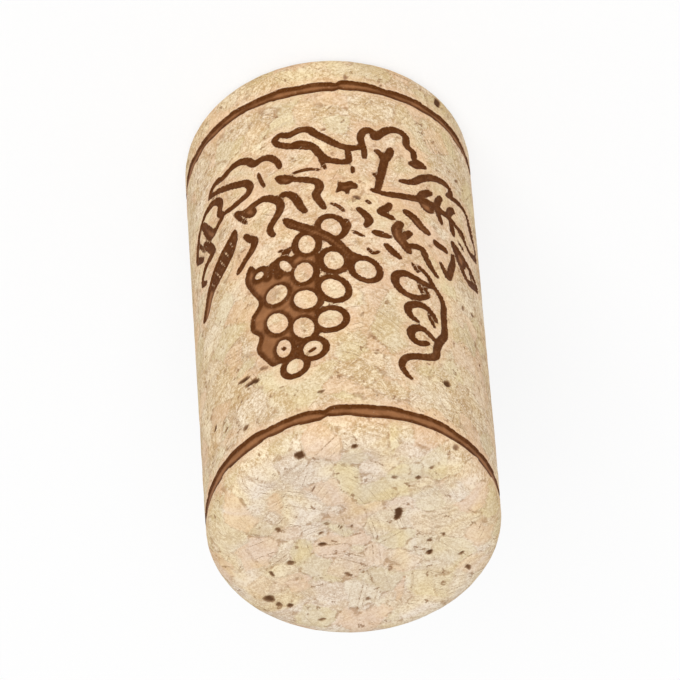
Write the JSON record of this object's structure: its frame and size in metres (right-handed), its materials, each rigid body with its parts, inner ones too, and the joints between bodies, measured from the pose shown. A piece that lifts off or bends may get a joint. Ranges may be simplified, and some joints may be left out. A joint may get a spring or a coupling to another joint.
{
  "type": "cork stopper",
  "caption": "Cylindrical stopper of granulated cork with rounded end edges, its side printed with a banded frame and a grape and vine ornament pressed in lightly.",
  "frame": {"origin": "middle of the foot, the end face that the stopper stands on", "axes": "+Z along the stopper from its foot to its top end; -Y out through the middle of one printed ornament, +Y through the other, -X through the seam of the printed frame"},
  "size_m": [0.023, 0.023, 0.044],
  "materials": {
    "cork": "matt granulated cork, printed in brown"
  },
  "bodies": {
    "root": {"stopper": "cork"}
  },
  "joints": []
}
